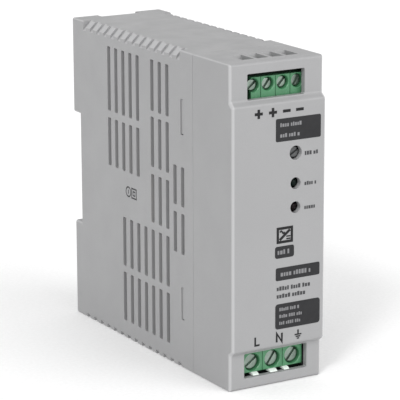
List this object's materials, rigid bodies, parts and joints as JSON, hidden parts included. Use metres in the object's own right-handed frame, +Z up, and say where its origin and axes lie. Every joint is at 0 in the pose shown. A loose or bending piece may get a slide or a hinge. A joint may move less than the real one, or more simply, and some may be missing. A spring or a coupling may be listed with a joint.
{
  "type": "din rail power supply",
  "caption": "Slim plastic-cased power supply that clips to a 35 mm top-hat rail, with screw terminals top and bottom, vented sides and a trim adjuster.",
  "frame": {"origin": "centre of the bounding box's bottom face, on the surface that the case stands on", "axes": "+Z up, towards the output terminals; -Y towards the front; +Y towards the rail; +X to the right seen from the front"},
  "size_m": [0.032, 0.098, 0.0975],
  "materials": {
    "case_plastic": "light grey moulded plastic with a fine matt texture",
    "terminal_plastic": "green moulded terminal plastic, satin",
    "latch_plastic": "black moulded plastic",
    "zinc_steel": "zinc-plated steel",
    "tinned_brass": "tinned brass strip",
    "spring_steel": "bright spring wire",
    "circuit_board": "glass-epoxy board with green solder mask",
    "black_epoxy": "black moulding compound",
    "ferrite": "dark sintered ferrite",
    "winding_tape": "yellow polyester winding tape",
    "copper_winding": "enamelled copper wire",
    "capacitor_sleeve": "dark shrink sleeve on an aluminium can",
    "film_capacitor": "yellow box capacitor",
    "disc_blue": "blue dipped ceramic disc",
    "heatsink_aluminium": "mill-finish aluminium sheet",
    "insulation_film": "dark insulation sheet",
    "fuse_ceramic": "off-white ceramic fuse body",
    "trimmer_blue": "blue trimmer body",
    "trimmer_rotor": "off-white slotted spindle",
    "led_green": "clear green indicator lens",
    "led_red": "clear red indicator lens"
  },
  "bodies": {
    "case": {"rear_housing": "case_plastic", "front_cover": "case_plastic", "output_terminal_housing": "terminal_plastic", "input_terminal_housing": "terminal_plastic", "transistor_screw": "zinc_steel", "rectifier_screw": "zinc_steel", "output_contact_1": "tinned_brass", "output_contact_2": "tinned_brass", "output_contact_3": "tinned_brass", "output_contact_4": "tinned_brass", "input_contact_1": "tinned_brass", "input_contact_2": "tinned_brass", "input_contact_3": "tinned_brass", "front_board": "circuit_board", "main_board": "circuit_board", "board_link_header": "black_epoxy", "inrush_thermistor": "black_epoxy", "bridge_rectifier": "black_epoxy", "switching_transistor": "black_epoxy", "output_rectifier": "black_epoxy", "control_chip": "black_epoxy", "optocoupler": "black_epoxy", "led_output_on": "led_green", "led_output_low": "led_red", "trim_pot_body": "trimmer_blue", "insulation_sheet": "insulation_film", "fuse": "fuse_ceramic", "varistor": "disc_blue", "y_capacitor": "disc_blue", "x_capacitor": "film_capacitor", "choke_core": "ferrite", "transformer_core": "ferrite", "output_inductor": "ferrite", "choke_winding_a": "copper_winding", "choke_winding_b": "copper_winding", "transformer_winding": "winding_tape", "primary_heatsink": "heatsink_aluminium", "secondary_heatsink": "heatsink_aluminium", "bulk_capacitor": "capacitor_sleeve", "output_capacitor_1": "capacitor_sleeve", "output_capacitor_2": "capacitor_sleeve", "latch_spring": "spring_steel"},
    "latch": {"rail_latch": "latch_plastic"},
    "trim_spindle": {"trim_pot_rotor": "trimmer_rotor"},
    "output_screw_1": {"output_screw_1": "zinc_steel"},
    "output_clamp_1": {"output_clamp_1": "zinc_steel"},
    "output_screw_2": {"output_screw_2": "zinc_steel"},
    "output_clamp_2": {"output_clamp_2": "zinc_steel"},
    "output_screw_3": {"output_screw_3": "zinc_steel"},
    "output_clamp_3": {"output_clamp_3": "zinc_steel"},
    "output_screw_4": {"output_screw_4": "zinc_steel"},
    "output_clamp_4": {"output_clamp_4": "zinc_steel"},
    "input_screw_1": {"input_screw_1": "zinc_steel"},
    "input_clamp_1": {"input_clamp_1": "zinc_steel"},
    "input_screw_2": {"input_screw_2": "zinc_steel"},
    "input_clamp_2": {"input_clamp_2": "zinc_steel"},
    "input_screw_3": {"input_screw_3": "zinc_steel"},
    "input_clamp_3": {"input_clamp_3": "zinc_steel"}
  },
  "joints": [
    {"name": "rail_latch_slide", "type": "slide", "parent": "case", "child": "latch", "axis": [0, 0, -1], "range_m": [0, 0.0045], "stiffness_N_per_m": 2500, "springref_m": -0.002, "deforming": ["latch_spring"]},
    {"name": "trim_pot_turn", "type": "hinge", "parent": "case", "child": "trim_spindle", "pos_m": [0.0055, -0.0484, 0.0699], "axis": [0, 1, 0], "range_deg": [-135, 135]},
    {"name": "output_screw_1_turn", "type": "hinge", "parent": "case", "child": "output_screw_1", "pos_m": [-0.0067, -0.04405, 0.0903], "axis": [0, 1, 0], "range_deg": [0, 1800]},
    {"name": "output_clamp_1_slide", "type": "slide", "parent": "case", "child": "output_clamp_1", "axis": [0, -1, 0], "range_m": [0, 0.0025]},
    {"name": "output_screw_2_turn", "type": "hinge", "parent": "case", "child": "output_screw_2", "pos_m": [-0.0017, -0.04405, 0.0903], "axis": [0, 1, 0], "range_deg": [0, 1800]},
    {"name": "output_clamp_2_slide", "type": "slide", "parent": "case", "child": "output_clamp_2", "axis": [0, -1, 0], "range_m": [0, 0.0025]},
    {"name": "output_screw_3_turn", "type": "hinge", "parent": "case", "child": "output_screw_3", "pos_m": [0.0033, -0.04405, 0.0903], "axis": [0, 1, 0], "range_deg": [0, 1800]},
    {"name": "output_clamp_3_slide", "type": "slide", "parent": "case", "child": "output_clamp_3", "axis": [0, -1, 0], "range_m": [0, 0.0025]},
    {"name": "output_screw_4_turn", "type": "hinge", "parent": "case", "child": "output_screw_4", "pos_m": [0.0083, -0.04405, 0.0903], "axis": [0, 1, 0], "range_deg": [0, 1800]},
    {"name": "output_clamp_4_slide", "type": "slide", "parent": "case", "child": "output_clamp_4", "axis": [0, -1, 0], "range_m": [0, 0.0025]},
    {"name": "input_screw_1_turn", "type": "hinge", "parent": "case", "child": "input_screw_1", "pos_m": [-0.0068, -0.04405, 0.0072], "axis": [0, 1, 0], "range_deg": [0, 1800]},
    {"name": "input_clamp_1_slide", "type": "slide", "parent": "case", "child": "input_clamp_1", "axis": [0, -1, 0], "range_m": [0, 0.0025]},
    {"name": "input_screw_2_turn", "type": "hinge", "parent": "case", "child": "input_screw_2", "pos_m": [0.0002, -0.04405, 0.0072], "axis": [0, 1, 0], "range_deg": [0, 1800]},
    {"name": "input_clamp_2_slide", "type": "slide", "parent": "case", "child": "input_clamp_2", "axis": [0, -1, 0], "range_m": [0, 0.0025]},
    {"name": "input_screw_3_turn", "type": "hinge", "parent": "case", "child": "input_screw_3", "pos_m": [0.0072, -0.04405, 0.0072], "axis": [0, 1, 0], "range_deg": [0, 1800]},
    {"name": "input_clamp_3_slide", "type": "slide", "parent": "case", "child": "input_clamp_3", "axis": [0, -1, 0], "range_m": [0, 0.0025]}
  ],
  "couplings": [
    {"joint": "output_screw_1_turn", "follows": "output_clamp_1_slide", "rad_per_m": 12566},
    {"joint": "output_screw_2_turn", "follows": "output_clamp_2_slide", "rad_per_m": 12566},
    {"joint": "output_screw_3_turn", "follows": "output_clamp_3_slide", "rad_per_m": 12566},
    {"joint": "output_screw_4_turn", "follows": "output_clamp_4_slide", "rad_per_m": 12566},
    {"joint": "input_screw_1_turn", "follows": "input_clamp_1_slide", "rad_per_m": 12566},
    {"joint": "input_screw_2_turn", "follows": "input_clamp_2_slide", "rad_per_m": 12566},
    {"joint": "input_screw_3_turn", "follows": "input_clamp_3_slide", "rad_per_m": 12566}
  ]
}
